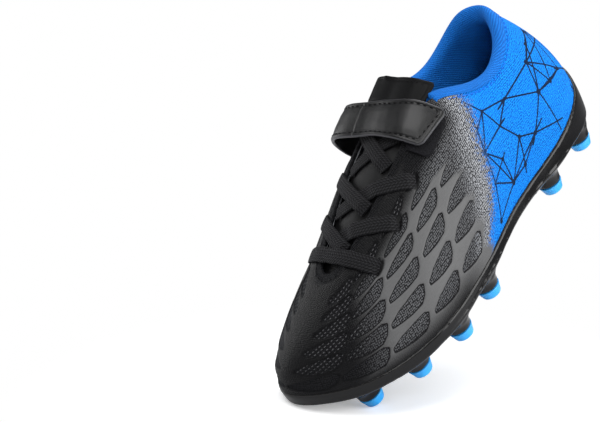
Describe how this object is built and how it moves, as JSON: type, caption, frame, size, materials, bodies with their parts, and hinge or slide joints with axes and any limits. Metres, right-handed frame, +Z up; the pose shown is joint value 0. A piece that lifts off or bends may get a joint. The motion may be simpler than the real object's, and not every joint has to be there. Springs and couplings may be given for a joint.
{
  "type": "soccer cleat",
  "caption": "Low-cut soccer cleat for the left foot: moulded plate with coloured stud tips, knit upper with lattice overlay, elastic laces and hook-and-loop instep strap.",
  "frame": {"origin": "on the ground, under the centre of the bounding box", "axes": "+X towards the toe, +Y towards the lateral (outer) side of the left foot, +Z up"},
  "size_m": [0.2198, 0.0782, 0.0963],
  "materials": {
    "outsole_tpu": "gloss",
    "tip_tpu": "satin",
    "upper_knit": "knit",
    "overlay_film": "satin",
    "stiffener": "matte",
    "vamp_lining": "mesh",
    "foam": "open cell",
    "collar_mesh": "mesh",
    "tongue_cloth": "woven",
    "tongue_patch": "satin",
    "strap_leather": "satin grain",
    "hook_tape": "hook pile",
    "loop_tape": "loop pile",
    "lace_elastic": "flat woven",
    "board": "fibre board",
    "sock_cloth": "knit"
  },
  "bodies": {
    "shoe": {"stud_tip_heel_rear_lateral": "tip_tpu", "stud_tip_heel_rear_medial": "tip_tpu", "stud_tip_heel_front_lateral": "tip_tpu", "stud_tip_heel_front_medial": "tip_tpu", "stud_tip_ball_rear_lateral": "tip_tpu", "stud_tip_ball_rear_medial": "tip_tpu", "stud_tip_ball_centre": "tip_tpu", "stud_tip_ball_middle_lateral": "tip_tpu", "stud_tip_ball_middle_medial": "tip_tpu", "stud_tip_ball_front_lateral": "tip_tpu", "stud_tip_toe_medial": "tip_tpu", "stud_tip_toe_lateral": "tip_tpu", "outsole_plate": "outsole_tpu", "upper_shell": "upper_knit", "overlay_film_lateral": "overlay_film", "overlay_film_medial": "overlay_film", "toe_puff": "stiffener", "heel_counter": "stiffener", "eyestay_lateral": "stiffener", "eyestay_medial": "stiffener", "vamp_lining": "vamp_lining", "collar_foam": "foam", "collar_lining": "collar_mesh", "tongue_face": "tongue_cloth", "tongue_foam": "foam", "tongue_lining": "tongue_cloth", "strap_anchor": "strap_leather", "strap_loop_pad": "loop_tape", "forepart_filler": "foam", "lasting_board": "board", "sockliner_foam": "foam", "sockliner_cover": "sock_cloth", "lace_bar": "lace_elastic", "lace_cross_1_under": "lace_elastic", "lace_cross_1_over": "lace_elastic", "lace_cross_2_under": "lace_elastic", "lace_cross_2_over": "lace_elastic", "lace_cross_3_under": "lace_elastic", "lace_cross_3_over": "lace_elastic"},
    "strap_bridge": {"strap_bridge": "strap_leather"},
    "strap_tip": {"strap_tip": "strap_leather", "strap_hook_pad": "hook_tape"},
    "tongue_top": {"tongue_top_patch": "tongue_patch", "tongue_top_pad": "tongue_cloth"}
  },
  "joints": [
    {"name": "strap_lift", "type": "hinge", "parent": "shoe", "child": "strap_bridge", "pos_m": [-0.01495, -0.03267, 0.07644], "axis": [0.9563, -0.0539, -0.2875], "range_deg": [0, 110]},
    {"name": "strap_tip_peel", "type": "hinge", "parent": "strap_bridge", "child": "strap_tip", "pos_m": [-0.01002, 0.01208, 0.08961], "axis": [0.9449, -0.0149, -0.3271], "range_deg": [0, 75]},
    {"name": "tongue_pull", "type": "hinge", "parent": "shoe", "child": "tongue_top", "pos_m": [-0.02161, -0.0023, 0.09091], "axis": [0, 1, 0], "range_deg": [0, 25]}
  ]
}
